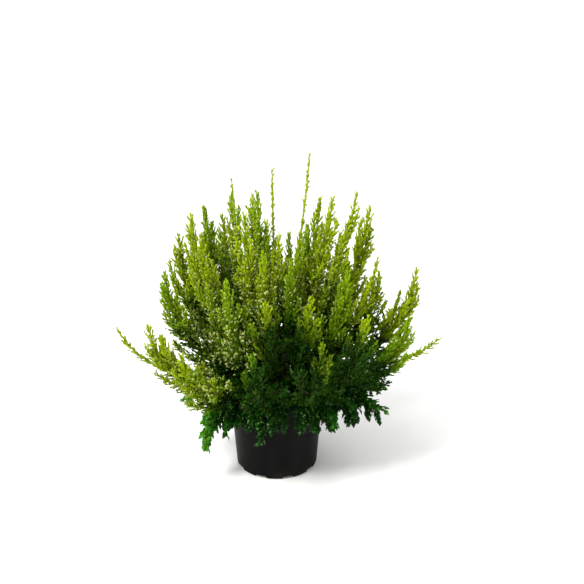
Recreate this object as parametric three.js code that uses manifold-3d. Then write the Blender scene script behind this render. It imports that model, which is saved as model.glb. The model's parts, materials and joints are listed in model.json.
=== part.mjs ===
// Potted heather: a bushy bud heather with lime green upright sprays, in a thin black nursery pot.
// Millimetres, +Z up. The origin is the middle of the pot's flat base, on the surface it stands on.
// X runs to the right and Y away from the side that is seen first.
import * as THREE from "three";
import { mergeVertices } from "three/addons/utils/BufferGeometryUtils.js";
import Module from "manifold-3d";

const wasm = await Module();
wasm.setup();

// Driving dimensions of the pot: radii and heights of its round wall, and the drain slots at its foot
const POT = {
  height: 95,
  baseRadius: 46,
  rimRadius: 53.2,
  wall: 1.2,
  cornerRadius: 3.5,
  lipHeight: 6,
  lipOut: 1.8,
  segments: 36,
  slots: 9,
  slotWidth: 14,
  slotHeight: 4,
  slotReach: 6,
  slotTurn: 17,
};

// The peat fills the pot to a crumbly top, and each stem stands in a plain square hole in it
const SOIL = {
  top: 85,
  gap: 0.3,
  segments: 20,
  relief: 1.3,
  bands: [0.94, 0.68, 0.36],
};

const STEM = { radius: 1.7, buried: 12, straight: 3, hole: 0.35 };

// Each spray is a slim core with SIDES sides, and leafy side shoots raised from it at every second corner
const SIDES = 6;
const SHOOT = { pitch: 11.5, lift: 0.92, shortest: 0.7, longest: 1.12, twist: 0.21 };
const BARE_PITCH = 17;
const TIP_LENGTH = 7;

// Rings of stems from the middle of the pot outwards. root is where they leave the peat, and reach and
// top are where their tips come to. half is half the width of a spray, and leafy is where it starts.
// rise and pull are shares of its length: how far it heads straight up, and how far its tip holds its
// own way, which keeps only a share, lean, of the spray's lean, so that the sprays curve upright.
const RINGS = [
  { count: 5, phase: 20, root: 8, reach: 28, top: 300, half: 10, leafy: 75, rise: 0.24, pull: 0.36, lean: 0.6 },
  { count: 10, phase: 0, root: 19, reach: 64, top: 292, half: 11, leafy: 62, rise: 0.18, pull: 0.42, lean: 0.4 },
  { count: 13, phase: 15, root: 30, reach: 98, top: 266, half: 12, leafy: 44, rise: 0.15, pull: 0.48, lean: 0.28 },
  { count: 15, phase: 0, root: 39.5, reach: 132, top: 205, half: 12, leafy: 30, rise: 0.16, pull: 0.6, lean: 0.12 },
];

// Short dark shoots at the foot of the plant rise past the rim, arch over it and hang outside the pot.
// Two long ones among them are as lime as the sprays: they run out to the sides and turn up
const LOW = { count: 15, phase: 12, root: 45, reach: 114, top: 76, half: 11, leafy: 38, rise: 44 };

// Sprays that stand out in the view from the front, by ring and place in it: where the tip is, and
// what sets them apart from their ring
const NAMED = {
  "0.0": { tip: [36, 16, 354], half: 6 },
  "0.1": { tip: [-4, 30, 335], half: 6.5 },
  "0.2": { tip: [-19, 6, 314] },
  "0.3": { tip: [4, -16, 274] },
  "0.4": { tip: [26, -8, 272] },
  "1.0": { tip: [60, 4, 308] },
  "1.1": { tip: [48, 38, 301] },
  "1.2": { tip: [14, 62, 256] },
  "1.3": { tip: [-27, 50, 302] },
  "1.4": { tip: [-49, 26, 307] },
  "1.5": { tip: [-45, -8, 333], half: 4.5 },
  "1.6": { tip: [-31, -34, 300] },
  "1.7": { tip: [-12, -50, 262] },
  "1.8": { tip: [16, -48, 250] },
  "1.9": { tip: [84, -20, 321], half: 8 },
  "2.0": { tip: [100, 8, 296] },
  "2.4": { tip: [-62, 66, 276] },
  "2.5": { tip: [-78, 26, 294] },
  "2.6": { tip: [-89, -8, 292] },
  "2.7": { tip: [-76, -44, 268] },
  "2.8": { tip: [-48, -72, 240] },
  "2.9": { tip: [-8, -86, 222] },
  "2.10": { tip: [36, -80, 224] },
  "2.11": { tip: [74, -62, 246] },
  "2.12": { tip: [106, -36, 255], half: 8 },
  "3.0": { tip: [152, -2, 231] },
  "3.7": { tip: [-107, 24, 264] },
  "3.8": { tip: [-117, -20, 234] },
  "3.9": { tip: [-131, -56, 187] },
  "3.10": { tip: [-92, -98, 172] },
  "3.14": { tip: [138, -58, 196] },
  "4.8": { tip: [-166, -42, 178], half: 7, rise: 42, tipLean: 22, tipPull: 84 },
  "4.9": { tip: [-76, -62, 50], tipLean: 165 },
  "4.10": { tip: [-17, -78, 64], tipLean: 170, half: 8 },
  "4.11": { tip: [4, -80, 97], tipLean: 150, half: 10 },
  "4.12": { tip: [60, -76, 84], tipLean: 155 },
  "4.13": { tip: [112, -50, 90], tipLean: 125 },
  "4.14": { tip: [177, -22, 160], half: 8, rise: 42, tipLean: 40, tipPull: 66 },
};

// The dip in the top of the bush, and how far the heights of the other tips scatter
const DIP = { x: 16, width: 34, depth: 30 };
const SCATTER = 22;

// Side sprays fork from the stems of the outer rings, the first of them to the side with more room
const FORKS = [
  { at: 0.34, length: 0.6, aside: 21, outward: 5, half: 0.85 },
  { at: 0.5, length: 0.4, aside: 18, outward: 0, half: 0.75 },
];
const FORK_LEVELS = [1, 2, 3, 4];
const FORK_ROOM = 7.5;

const COLOURS = {
  pot: 0x1b1d1c,
  soil: 0x2e2118,
  upright: [0x9dae2a, 0x8fa524, 0x7f9a1f],
  long: 0x8fa524,
  low: 0x2f5a17,
};

const radians = THREE.MathUtils.degToRad;
const UP = new THREE.Vector3(0, 0, 1);

// Random numbers from 0 to 1 that are the same in every run
function randomSource(seed) {
  let state = seed >>> 0;
  return () => {
    state = (state + 0x6d2b79f5) >>> 0;
    let mixed = Math.imul(state ^ (state >>> 15), 1 | state);
    mixed = (mixed + Math.imul(mixed ^ (mixed >>> 7), 61 | mixed)) ^ mixed;
    return ((mixed ^ (mixed >>> 14)) >>> 0) / 4294967296;
  };
}

// Solids from geometries, and back

function solidOf(geometry) {
  const bare = geometry.clone();
  bare.deleteAttribute("normal");
  bare.deleteAttribute("uv");
  const merged = mergeVertices(bare, 1e-4);
  const corners = merged.index.array;
  const faces = [];
  for (let i = 0; i < corners.length; i += 3) {
    const [a, b, c] = [corners[i], corners[i + 1], corners[i + 2]];
    if (a !== b && b !== c && a !== c) faces.push(a, b, c);
  }
  return new wasm.Manifold(
    new wasm.Mesh({
      numProp: 3,
      vertProperties: new Float32Array(merged.attributes.position.array),
      triVerts: new Uint32Array(faces),
    }),
  );
}

function geometryOf(solid) {
  const mesh = solid.getMesh();
  const geometry = new THREE.BufferGeometry();
  geometry.setAttribute("position", new THREE.BufferAttribute(mesh.vertProperties, 3));
  geometry.setIndex(new THREE.BufferAttribute(mesh.triVerts, 1));
  return geometry;
}

// A solid turned about the Z axis from an outline of radius and height, which starts and ends on it
function turned(outline, segments) {
  const points = outline.map(([radius, height]) => new THREE.Vector2(radius, height));
  return new THREE.LatheGeometry(points, segments).rotateX(Math.PI / 2);
}

// The pot

function wallRadius(height) {
  return THREE.MathUtils.lerp(POT.baseRadius, POT.rimRadius, height / POT.height);
}

function cornerArc(radius, height, size, steps) {
  return Array.from({ length: steps + 1 }, (_, i) => {
    const angle = (Math.PI / 2) * (i / steps);
    return [radius - size + size * Math.sin(angle), height + size - size * Math.cos(angle)];
  });
}

function potOutline() {
  const { height, wall, cornerRadius, lipHeight, lipOut } = POT;
  const lipFoot = height - lipHeight;
  const lipRadius = POT.rimRadius + lipOut;
  return [
    [0, 0],
    ...cornerArc(wallRadius(cornerRadius), 0, cornerRadius, 3),
    [wallRadius(lipFoot - lipOut), lipFoot - lipOut],
    [lipRadius, lipFoot],
    [lipRadius, height - 0.8],
    [lipRadius - 0.8, height],
    [wallRadius(height) - wall, height],
    ...cornerArc(wallRadius(cornerRadius + wall) - wall, wall, cornerRadius - 0.8, 2).reverse(),
    [0, wall],
  ];
}

function buildPot() {
  const { slots, slotWidth, slotHeight, slotReach, slotTurn, baseRadius } = POT;
  let pot = solidOf(turned(potOutline(), POT.segments));
  for (let i = 0; i < slots; i += 1) {
    const cutter = new THREE.BoxGeometry(slotReach * 2, slotWidth, slotHeight * 2);
    cutter.translate(baseRadius, 0, 0);
    cutter.rotateZ(radians(-90 + slotTurn + (360 / slots) * i));
    pot = pot.subtract(solidOf(cutter));
  }
  return geometryOf(pot);
}

// Where each spray runs

function placeOf(ring, place) {
  const angle = radians(ring.phase + (360 / ring.count) * place);
  return [Math.cos(angle), Math.sin(angle)];
}

// The tip of a spray that isn't named. The bush is wider to the right than to the left, and it has
// a dip between its left and right halves
function ruledTip(ring, place, random) {
  const turn = radians(ring.phase + (360 / ring.count) * place + (random() - 0.5) * 10);
  const reach = ring.reach * (1 + 0.07 * Math.cos(turn)) * (0.95 + 0.1 * random());
  const [x, y] = [reach * Math.cos(turn), reach * Math.sin(turn)];
  const dip = ring === LOW ? 0 : DIP.depth * Math.exp(-(((x - DIP.x) / DIP.width) ** 2));
  return [x, y, ring.top - dip + (random() - 0.5) * SCATTER];
}

function uprightCourse(root, tip, { rise, pull, lean }) {
  const aside = new THREE.Vector3(tip.x - root.x, tip.y - root.y, 0);
  const length = root.distanceTo(tip);
  const tipLean = Math.atan2(aside.length(), tip.z - root.z) * lean;
  aside.normalize();
  const tipWay = aside.multiplyScalar(Math.sin(tipLean)).addScaledVector(UP, Math.cos(tipLean));
  return new THREE.CubicBezierCurve3(
    root,
    root.clone().addScaledVector(UP, length * rise),
    tip.clone().addScaledVector(tipWay, -length * pull),
    tip,
  );
}

function archedCourse(root, tip, { rise, tipLean = 118, tipPull = 36 }) {
  const aside = new THREE.Vector3(tip.x - root.x, tip.y - root.y, 0).normalize();
  const lean = radians(tipLean);
  const tipWay = aside.clone().multiplyScalar(Math.sin(lean)).addScaledVector(UP, Math.cos(lean));
  return new THREE.CubicBezierCurve3(
    root,
    root.clone().addScaledVector(UP, rise),
    tip.clone().addScaledVector(tipWay, -tipPull),
    tip,
  );
}

// A course is sampled at even steps: it stands straight in its hole, and then follows its curve
const SAMPLE_STEP = 3;

function sampled(curve, straightRoot) {
  const length = curve.getLength();
  const points = curve.getSpacedPoints(Math.max(6, Math.round(length / SAMPLE_STEP)));
  return straightRoot ? [straightRoot, ...points] : points;
}

function forkFrom(stem, fork, side) {
  const start = Math.round((stem.points.length - 1) * fork.at);
  const root = stem.points[start];
  const tip = stem.points.at(-1);
  const along = stem.points[start + 2].clone().sub(root).normalize();
  const outward = new THREE.Vector3(root.x, root.y, 0).normalize();
  const aside = new THREE.Vector3().crossVectors(UP, outward).multiplyScalar(side);
  const length = root.distanceTo(tip) * fork.length;
  const end = root
    .clone()
    .addScaledVector(tip.clone().sub(root).normalize(), length)
    .addScaledVector(aside, fork.aside)
    .addScaledVector(outward, fork.outward);
  const tipWay = tip.clone().sub(stem.points.at(-6)).normalize();
  const curve = new THREE.CubicBezierCurve3(
    root,
    root.clone().addScaledVector(along, length * 0.25).addScaledVector(aside, fork.aside * 0.4),
    end.clone().addScaledVector(tipWay, -length * 0.3),
    end,
  );
  return {
    points: sampled(curve),
    start,
    side,
    half: stem.half * fork.half,
    stem: stem.stem * 0.85,
    leafy: 11,
    random: stem.random,
  };
}

function buildStems() {
  const nodes = [];
  [...RINGS, LOW].forEach((ring, level) => {
    for (let place = 0; place < ring.count; place += 1) {
      const random = randomSource(1000 * (level + 1) + place);
      const ruled = ruledTip(ring, place, random);
      const named = NAMED[`${level}.${place}`] ?? {};
      const [x, y] = placeOf(ring, place);
      const root = new THREE.Vector3(x * ring.root, y * ring.root, SOIL.top + STEM.straight);
      const tip = new THREE.Vector3(...(named.tip ?? ruled));
      const shape = { ...ring, ...named };
      const curve = ring === LOW ? archedCourse(root, tip, shape) : uprightCourse(root, tip, shape);
      const buried = new THREE.Vector3(root.x, root.y, SOIL.top - STEM.buried);
      const stem = {
        points: sampled(curve, buried),
        half: shape.half,
        stem: STEM.radius,
        leafy: shape.leafy,
        random,
      };
      nodes.push({ level, place, root, stems: [stem], long: Boolean(named.tipPull) });
    }
  });
  return nodes;
}

// How near a fork comes to any other course, or nothing where it would touch the pot
function roomFor(fork, stems, courses) {
  const free = fork.points.slice(5);
  if (!free.every(clearOfPot)) return 0;
  const past = { points: stems[0].points.slice(fork.start + 4) };
  const others = courses.map((course) => (course === stems[0] ? past : course));
  return Math.min(...free.map((point) => nearestOther(point, fork, others)));
}

// A fork grows to the side that has more room for it, the next one to the other side, and only where
// there is enough room
function addForks(nodes) {
  for (const fork of FORKS) {
    for (const { stems, level, long } of nodes) {
      if (long || !FORK_LEVELS.includes(level)) continue;
      const courses = nodes.flatMap((each) => each.stems);
      const sides = stems.length > 1 ? [-stems[1].side] : [1, -1];
      const grown = sides.map((side) => forkFrom(stems[0], fork, side));
      const rooms = grown.map((each) => roomFor(each, stems, courses));
      const best = rooms.indexOf(Math.max(...rooms));
      if (rooms[best] > FORK_ROOM) stems.push(grown[best]);
    }
  }
}

// The leafy solid along one course

// Half the width of the leafy part at a share of the way from its foot to its tip
function widthAt(share) {
  const swell = Math.min(1, 0.45 + 1.9 * share);
  const taper = Math.min(1, 0.1 + 2.1 * (1 - share));
  return swell * taper;
}

function coreAt(stem, share) {
  return share < 0 ? stem.stem : THREE.MathUtils.lerp(stem.stem + 0.9, 0.9, share ** 1.5);
}

// A point and a frame across the course at a distance from its start
function stationAt(course, distance) {
  const { points, lengths } = course;
  let i = 1;
  while (i < lengths.length - 1 && lengths[i] < distance) i += 1;
  const share = (distance - lengths[i - 1]) / (lengths[i] - lengths[i - 1]);
  const centre = points[i - 1].clone().lerp(points[i], share);
  const before = points[Math.max(0, i - 2)];
  const after = points[Math.min(points.length - 1, i + 1)];
  const along = after.clone().sub(before).normalize();
  const right = course.sideways.clone().addScaledVector(along, -course.sideways.dot(along)).normalize();
  const front = new THREE.Vector3().crossVectors(along, right);
  return { centre, along, right, front };
}

function measured(stem) {
  const lengths = [0];
  for (let i = 1; i < stem.points.length; i += 1) {
    lengths.push(lengths[i - 1] + stem.points[i].distanceTo(stem.points[i - 1]));
  }
  const span = stem.points.at(-1).clone().sub(stem.points[0]).setZ(0);
  const sideways = span.length() > 1 ? new THREE.Vector3().crossVectors(UP, span) : new THREE.Vector3(1, 0, 0);
  return { ...stem, lengths, sideways: sideways.normalize() };
}

// Distances of the rings of corners along a course: wide steps on the bare stem, even ones where leafy
function ringDistances(course) {
  const length = course.lengths.at(-1);
  const leafyLength = length - course.leafy - TIP_LENGTH;
  const leafyRings = Math.max(4, Math.round(leafyLength / SHOOT.pitch));
  const distances = course.lengths[1] > 10 ? [0, course.lengths[1]] : [0];
  const bareStart = distances.at(-1);
  const bareRings = Math.max(1, Math.round((course.leafy - bareStart) / BARE_PITCH));
  for (let i = 1; i < bareRings; i += 1) {
    distances.push(bareStart + ((course.leafy - bareStart) * i) / bareRings);
  }
  for (let i = 0; i < leafyRings; i += 1) {
    distances.push(course.leafy + (leafyLength * i) / leafyRings);
  }
  return distances;
}

// A corner keeps clear of the peat, of the pot's wall and rim, and of every other course
const CLEAR = { soil: 2.5, rimInside: 3, rimOutside: 2, rimAbove: 3, neighbour: 0.9, floor: 3 };

function clearOfPot(point) {
  const radius = Math.hypot(point.x, point.y);
  const overPeat = radius < POT.rimRadius && point.z < SOIL.top + CLEAR.soil;
  const inRim =
    point.z < POT.height + CLEAR.rimAbove &&
    radius > POT.rimRadius - POT.wall - CLEAR.rimInside &&
    radius < POT.rimRadius + POT.lipOut + CLEAR.rimOutside;
  const inWall = point.z < POT.height && radius < wallRadius(point.z) + CLEAR.rimOutside;
  return !overPeat && !inRim && !(inWall && radius > POT.rimRadius - POT.wall) && point.z > CLEAR.floor;
}

function nearestOther(point, own, courses) {
  let nearest = Infinity;
  for (const other of courses) {
    if (other === own) continue;
    for (const sample of other.points) {
      const distance = sample.distanceToSquared(point);
      if (distance < nearest) nearest = distance;
    }
  }
  return Math.sqrt(nearest);
}

// The corner of a side shoot: as far out as its length and its neighbours let it
function shootCorner(course, station, way, reach, lift, core, courses) {
  const foot = station.centre.clone().addScaledVector(way, core);
  for (let scale = 1; scale > 0.2; scale -= 0.1) {
    const out = core + (reach - core) * scale;
    const corner = station.centre
      .clone()
      .addScaledVector(way, out)
      .addScaledVector(station.along, lift * Math.min(1, scale * 1.2));
    if (clearOfPot(corner) && nearestOther(corner, course, courses) > out + CLEAR.neighbour) return corner;
  }
  return foot;
}

function leafySolid(course, courses) {
  const distances = ringDistances(course);
  const length = course.lengths.at(-1);
  const positions = [];
  const faces = [];
  distances.forEach((distance, j) => {
    const station = stationAt(course, distance);
    const share = (distance - course.leafy) / (length - course.leafy);
    const core = coreAt(course, share);
    for (let i = 0; i < SIDES; i += 1) {
      const angle = (2 * Math.PI * i) / SIDES + Math.max(0, j - 2) * SHOOT.twist;
      const way = station.right
        .clone()
        .multiplyScalar(Math.cos(angle))
        .addScaledVector(station.front, Math.sin(angle));
      const draw = SHOOT.shortest + (SHOOT.longest - SHOOT.shortest) * course.random();
      const raised = share > 0.001 && (i + j) % 2 === 0;
      const corner = raised
        ? shootCorner(
            course,
            station,
            way,
            Math.max(core + 0.4, course.half * widthAt(share) * draw),
            SHOOT.pitch * SHOOT.lift,
            core,
            courses,
          )
        : station.centre.clone().addScaledVector(way, core);
      positions.push(corner.x, corner.y, corner.z);
    }
  });
  const corner = (j, i) => j * SIDES + (i % SIDES);
  for (let j = 0; j + 1 < distances.length; j += 1) {
    for (let i = 0; i < SIDES; i += 1) {
      const [a, b, c, d] = [corner(j, i), corner(j, i + 1), corner(j + 1, i + 1), corner(j + 1, i)];
      if ((i + j) % 2 === 0) faces.push(a, b, d, b, c, d);
      else faces.push(a, b, c, a, c, d);
    }
  }
  const tip = course.points.at(-1);
  const tipIndex = positions.length / 3;
  positions.push(tip.x, tip.y, tip.z);
  const last = distances.length - 1;
  for (let i = 0; i < SIDES; i += 1) faces.push(corner(last, i), corner(last, i + 1), tipIndex);
  for (let i = 1; i + 1 < SIDES; i += 1) faces.push(corner(0, 0), corner(0, i + 1), corner(0, i));
  return new wasm.Manifold(
    new wasm.Mesh({
      numProp: 3,
      vertProperties: new Float32Array(positions),
      triVerts: new Uint32Array(faces),
    }),
  );
}

// The peat, with its crumbly top and a plain hole for each stem

function reliefAt(x, y) {
  const waves = Math.sin(x * 0.31 + 1.1) * Math.cos(y * 0.27) + Math.sin((x - y) * 0.17 + 0.6);
  return (SOIL.relief * waves) / 2;
}

function buildSoil(nodes) {
  const { top, gap, bands, segments } = SOIL;
  const foot = POT.wall + gap;
  const footRadius = wallRadius(foot) - POT.wall - POT.cornerRadius;
  const sideRadius = (height) => wallRadius(height) - POT.wall - gap;
  const edge = Math.cos(Math.PI / segments) * Math.cos(Math.PI / POT.segments);
  const lumpy = turned(
    [
      [0, foot],
      [footRadius, foot],
      [sideRadius(foot + POT.cornerRadius) * edge, foot + POT.cornerRadius + 1],
      [sideRadius(top - 3) * edge, top - 3],
      ...bands.map((band) => [sideRadius(top) * band, top]),
      [0, top],
    ],
    segments,
  );
  const place = lumpy.attributes.position;
  for (let i = 0; i < place.count; i += 1) {
    if (place.getZ(i) > top - 1) place.setZ(i, top + reliefAt(place.getX(i), place.getY(i)));
  }
  let soil = solidOf(lumpy);
  for (const node of nodes) {
    const width = 2 * (node.stems[0].stem + STEM.hole);
    const depth = STEM.buried + STEM.hole;
    const hole = new THREE.BoxGeometry(width, width, depth + 10);
    hole.translate(node.root.x, node.root.y, top - depth + (depth + 10) / 2);
    soil = soil.subtract(solidOf(hole));
  }
  return geometryOf(soil);
}

// Assembly

const plant = new THREE.Group();

function addPiece(name, geometry, color, roughness) {
  const material = new THREE.MeshStandardMaterial({ color, roughness, metalness: 0 });
  const mesh = new THREE.Mesh(geometry, material);
  mesh.name = name;
  plant.add(mesh);
}

const nodes = buildStems();
addForks(nodes);
for (const node of nodes) node.stems = node.stems.map(measured);
const courses = nodes.flatMap((node) => node.stems);

addPiece("pot", buildPot(), COLOURS.pot, 0.6);
addPiece("soil", buildSoil(nodes), COLOURS.soil, 1);

const counts = { spray: 0, low_shoot: 0 };
for (const node of nodes) {
  const [first, ...forks] = node.stems.map((stem) => leafySolid(stem, courses));
  const solid = forks.reduce((whole, fork) => whole.add(fork), first);
  const kind = node.level < RINGS.length ? "spray" : "low_shoot";
  counts[kind] += 1;
  const low = node.long ? COLOURS.long : COLOURS.low;
  const colour = kind === "spray" ? COLOURS.upright[node.place % COLOURS.upright.length] : low;
  addPiece(`${kind}_${String(counts[kind]).padStart(2, "0")}`, geometryOf(solid), colour, 0.7);
}

export default plant;
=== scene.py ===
import json
import math

import bmesh
import bpy
import numpy as np
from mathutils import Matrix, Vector


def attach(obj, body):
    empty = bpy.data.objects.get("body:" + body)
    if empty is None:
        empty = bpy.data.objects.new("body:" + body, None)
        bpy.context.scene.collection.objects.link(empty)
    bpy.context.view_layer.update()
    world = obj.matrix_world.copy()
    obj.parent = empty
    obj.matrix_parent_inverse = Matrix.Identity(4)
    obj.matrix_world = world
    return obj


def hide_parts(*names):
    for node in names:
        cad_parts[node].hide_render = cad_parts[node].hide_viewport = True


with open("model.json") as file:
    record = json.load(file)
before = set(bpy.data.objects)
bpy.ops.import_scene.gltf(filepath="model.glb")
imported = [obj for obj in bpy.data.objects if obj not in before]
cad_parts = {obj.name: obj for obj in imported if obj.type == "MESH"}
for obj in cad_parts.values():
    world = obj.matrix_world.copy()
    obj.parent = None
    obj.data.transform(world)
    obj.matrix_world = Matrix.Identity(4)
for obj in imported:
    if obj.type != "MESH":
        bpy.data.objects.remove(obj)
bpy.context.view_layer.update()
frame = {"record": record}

# Lengths below are in millimetres, as on the solid model, and become metres when a mesh is made
MM = 0.001
UP = np.array([0.0, 0.0, 1.0])

POT = {
    "height": 95, "base": 46, "rim": 53.2, "wall": 1.2, "corner": 3.5, "lip_height": 6, "lip_out": 1.8,
    "slots": 9, "slot_width": 14, "slot_height": 4, "slot_reach": 6, "slot_turn": 17, "slot_round": 1.1,
}
SOIL = {"top": 85, "gap": 0.3, "ease": 0.15, "bands": 26, "relief": 1.3, "grain": 0.45}
STEM = {"radius": 1.7, "buried": 12, "straight": 3}

# Rings of upright stems and the ring of low shoots, as in the solid model
RINGS = [
    dict(count=5, phase=20, root=8, reach=28, top=300, half=12, leafy=75, rise=0.24, pull=0.36, lean=0.6),
    dict(count=10, phase=0, root=19, reach=64, top=292, half=13, leafy=62, rise=0.18, pull=0.42, lean=0.4),
    dict(count=13, phase=15, root=30, reach=98, top=266, half=14, leafy=44, rise=0.15, pull=0.48, lean=0.28),
    dict(count=15, phase=0, root=39.5, reach=132, top=205, half=14, leafy=30, rise=0.16, pull=0.6, lean=0.12),
]
LOW = dict(
    count=15, phase=12, root=45, reach=114, top=76, half=11, leafy=38, rise=44, tip_lean=118, tip_pull=36
)
LOW_LEVEL = len(RINGS)
NAMED = {
    (0, 0): dict(tip=(36, 16, 354), half=6),
    (0, 1): dict(tip=(-4, 30, 335), half=6.5),
    (0, 2): dict(tip=(-19, 6, 314)),
    (0, 3): dict(tip=(4, -16, 274)),
    (0, 4): dict(tip=(26, -8, 272)),
    (1, 0): dict(tip=(60, 4, 308)),
    (1, 1): dict(tip=(48, 38, 301)),
    (1, 2): dict(tip=(14, 62, 256)),
    (1, 3): dict(tip=(-27, 50, 302)),
    (1, 4): dict(tip=(-49, 26, 307)),
    (1, 5): dict(tip=(-45, -8, 333), half=4.5),
    (1, 6): dict(tip=(-31, -34, 300)),
    (1, 7): dict(tip=(-12, -50, 262)),
    (1, 8): dict(tip=(16, -48, 250)),
    (1, 9): dict(tip=(84, -20, 321), half=8),
    (2, 0): dict(tip=(100, 8, 296)),
    (2, 4): dict(tip=(-62, 66, 276)),
    (2, 5): dict(tip=(-78, 26, 294)),
    (2, 6): dict(tip=(-89, -8, 292)),
    (2, 7): dict(tip=(-76, -44, 268)),
    (2, 8): dict(tip=(-48, -72, 240)),
    (2, 9): dict(tip=(-8, -86, 222)),
    (2, 10): dict(tip=(36, -80, 224)),
    (2, 11): dict(tip=(74, -62, 246)),
    (2, 12): dict(tip=(106, -36, 255), half=8),
    (3, 0): dict(tip=(152, -2, 231)),
    (3, 7): dict(tip=(-107, 24, 264)),
    (3, 8): dict(tip=(-117, -20, 234)),
    (3, 9): dict(tip=(-131, -56, 187)),
    (3, 10): dict(tip=(-92, -98, 172)),
    (3, 14): dict(tip=(138, -58, 196)),
    (4, 8): dict(tip=(-166, -42, 178), half=7, rise=42, tip_lean=22, tip_pull=84),
    (4, 9): dict(tip=(-76, -62, 50), tip_lean=165),
    (4, 10): dict(tip=(-17, -78, 64), tip_lean=170, half=8),
    (4, 11): dict(tip=(4, -80, 97), tip_lean=150, half=10),
    (4, 12): dict(tip=(60, -76, 84), tip_lean=155),
    (4, 13): dict(tip=(112, -50, 90), tip_lean=125),
    (4, 14): dict(tip=(177, -22, 160), half=8, rise=42, tip_lean=40, tip_pull=66),
}
DIP = {"x": 16, "width": 34, "depth": 30}
# How far the ruled tips stray, in degrees and in height
SCATTER = {"turn": 10, "height": 22}
FORKS = [
    dict(at=0.34, length=0.6, aside=21, outward=5, half=0.85),
    dict(at=0.5, length=0.4, aside=18, outward=0, half=0.75),
]
FORK_LEVELS = (1, 2, 3, 4)
FORK_ROOM = 7.5
SAMPLE_STEP = 3
CLEAR = {"soil": 2.5, "rim_inside": 3, "rim_outside": 2, "rim_above": 3, "floor": 3}

# Foliage: every spray is a bundle of plumes, and a plume is a slim core set with short leafy spikelets.
# Leans are in degrees, and a pair is the range of a random draw or of a smooth step
GOLDEN_ANGLE = math.radians(137.5)
WOOD = {"sides": 7, "step": 5.0, "end": 3, "among_leaves": 25, "green": 40}
PLUME = {
    "rise": (30, 62), "full": 22, "spacing": 2.3, "step": 3.0, "tones": (0.35, 0.8), "below": 12,
    "overlap": 15,
}
CORE = {"sides": 4, "pitch": 3.2, "radius": 1.25, "end": 1.5}
THIN = {"half": 7, "share": 0.75, "run": 75, "fade": 50, "full": 11, "spacing": 3.2, "tone": 0.85}
FRINGE = {"plain": 1.05, "wide": 1.25, "longest": 15}
SPREAD = (
    {"reach": 11, "spacing": 15, "from": 0.5},
    {"reach": 14, "spacing": 11.5, "from": 0.42},
    {"reach": 17, "spacing": 9.2, "from": 0.25},
    {"reach": 21, "spacing": 8.5, "from": 0},
    {"reach": 20, "spacing": 10, "from": 0},
)
SPIKELET = {
    "profile": (0.6, 1.0, 0.95, 0.7), "radius": 1.35, "low_radius": 1.7, "lean": (13, 33),
    "wide_lean": (26, 50), "lean_run": 25, "bow": 0.35, "end": 2.5, "crowding": 0.88, "lighter": 0.1,
}
BARK, LEAF_SKIN, BUD_SKIN, GLOSSY_SKIN = 0, 1, 2, 3
LEAF = {"length": 4.0, "width": 0.48, "per_mm": 0.35, "skin": LEAF_SKIN}
BROAD_LEAF = {"length": 8.5, "width": 0.62, "per_mm": 1.05, "skin": GLOSSY_SKIN}
BUD = {"length": 3.4, "per_mm": 1.1, "shade": (0.05, 0.35), "across": (-25, 70)}
TWIG = {
    "per_mm": (1.3, 1.4, 1.7, 2.4, 1.0), "share": 0.82, "short_share": 0.4, "first": 14, "lean": (28, 62),
    "length": (12, 22), "full_half": 12, "radius": 0.5, "leaves": 9, "leaf": 7.4, "width": 0.52,
}
FLANK = {"from": 60, "more": 1.6, "share": 0.88, "fringe": 1.15}
SIDE = {
    "below": 14, "highest": 0.95, "long_highest": 0.6, "lead": 22, "full_rise": 42, "least_reach": 5,
    "fringe": 11,
}
FOOT = {"step": 11, "from": 5, "end": 8, "rise": (11, 20), "reach": (4, 9), "spacing": 4.5, "fringe": 7}
CURTAIN = {
    "step": 4.2, "from": 57.5, "end": 4, "foot": (74, 94), "longest": 36, "shortest": 9, "out": 0.28,
    "aside": 0.5, "droop": 1.4, "fringe": (8, 12),
}


# Where each spray runs

def random_source(seed):
    """Random numbers from 0 to 1, the same as the solid model's."""
    mask = 0xFFFFFFFF
    state = seed & mask

    def draw():
        nonlocal state
        state = (state + 0x6D2B79F5) & mask
        mixed = ((state ^ (state >> 15)) * (1 | state)) & mask
        mixed = ((mixed + (((mixed ^ (mixed >> 7)) * (61 | mixed)) & mask)) & mask) ^ mixed
        return ((mixed ^ (mixed >> 14)) & mask) / 4294967296

    return draw


def unit(v):
    return v / np.linalg.norm(v, axis=-1, keepdims=True)


def place_of(ring, place):
    angle = math.radians(ring["phase"] + 360 / ring["count"] * place)
    return math.cos(angle), math.sin(angle)


def ruled_tip(ring, place, draw):
    stray = (draw() - 0.5) * SCATTER["turn"]
    turn = math.radians(ring["phase"] + 360 / ring["count"] * place + stray)
    reach = ring["reach"] * (1 + 0.07 * math.cos(turn))
    reach *= 0.95 + 0.1 * draw()
    x, y = reach * math.cos(turn), reach * math.sin(turn)
    dip = 0 if ring is LOW else DIP["depth"] * math.exp(-(((x - DIP["x"]) / DIP["width"]) ** 2))
    return x, y, ring["top"] - dip + (draw() - 0.5) * SCATTER["height"]


def tip_way(root, tip, lean):
    aside = unit(np.array([tip[0] - root[0], tip[1] - root[1], 0.0]))
    return aside * math.sin(lean) + UP * math.cos(lean)


def upright_course(root, tip, shape):
    length = np.linalg.norm(tip - root)
    lean = math.atan2(math.hypot(tip[0] - root[0], tip[1] - root[1]), tip[2] - root[2]) * shape["lean"]
    way = tip_way(root, tip, lean)
    return root, root + UP * length * shape["rise"], tip - way * length * shape["pull"], tip


def arched_course(root, tip, shape):
    way = tip_way(root, tip, math.radians(shape["tip_lean"]))
    return root, root + UP * shape["rise"], tip - way * shape["tip_pull"], tip


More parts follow.
